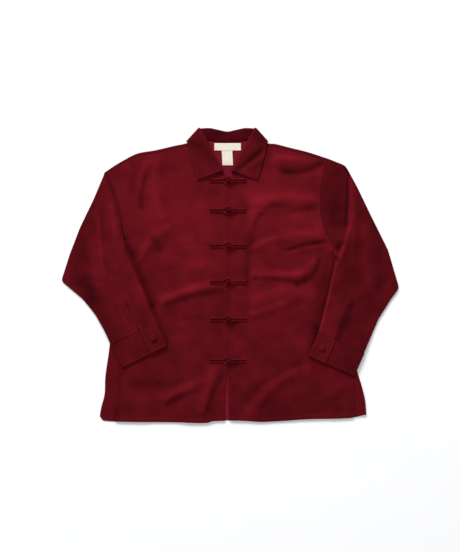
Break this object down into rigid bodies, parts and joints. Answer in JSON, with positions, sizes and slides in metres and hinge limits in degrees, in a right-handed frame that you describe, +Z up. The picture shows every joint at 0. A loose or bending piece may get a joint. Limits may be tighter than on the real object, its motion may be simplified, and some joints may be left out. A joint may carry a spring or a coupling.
{
  "type": "velvet shirt",
  "caption": "Long-sleeved velvet shirt with a pointed collar, knot closures down the front and buttoned cuffs, laid flat on its back.",
  "frame": {"origin": "on the surface that the shirt lies on, under the middle of its outline", "axes": "+X towards the wearer's left sleeve, +Y towards the collar, +Z up from the surface, out of the front"},
  "size_m": [0.829, 0.7227, 0.0163],
  "materials": {
    "velvet": "short burgundy pile, soft sheen",
    "knot_cloth": "burgundy velvet tubing, tightly knotted",
    "label": "bare off-white woven tape"
  },
  "bodies": {
    "root": {"back": "velvet", "front_left": "velvet", "front_right": "velvet", "sleeve_left": "velvet", "sleeve_right": "velvet", "placket_left": "velvet", "placket_right": "velvet", "cuff_left": "velvet", "cuff_right": "velvet", "cuff_button_left": "knot_cloth", "cuff_button_right": "knot_cloth", "collar": "velvet", "closure_1_loop": "knot_cloth", "closure_1_bar": "knot_cloth", "closure_1_knot": "knot_cloth", "closure_2_loop": "knot_cloth", "closure_2_bar": "knot_cloth", "closure_2_knot": "knot_cloth", "closure_3_loop": "knot_cloth", "closure_3_bar": "knot_cloth", "closure_3_knot": "knot_cloth", "closure_4_loop": "knot_cloth", "closure_4_bar": "knot_cloth", "closure_4_knot": "knot_cloth", "closure_5_loop": "knot_cloth", "closure_5_bar": "knot_cloth", "closure_5_knot": "knot_cloth", "closure_6_loop": "knot_cloth", "closure_6_bar": "knot_cloth", "closure_6_knot": "knot_cloth", "neck_label": "label", "size_label": "label"}
  },
  "joints": []
}
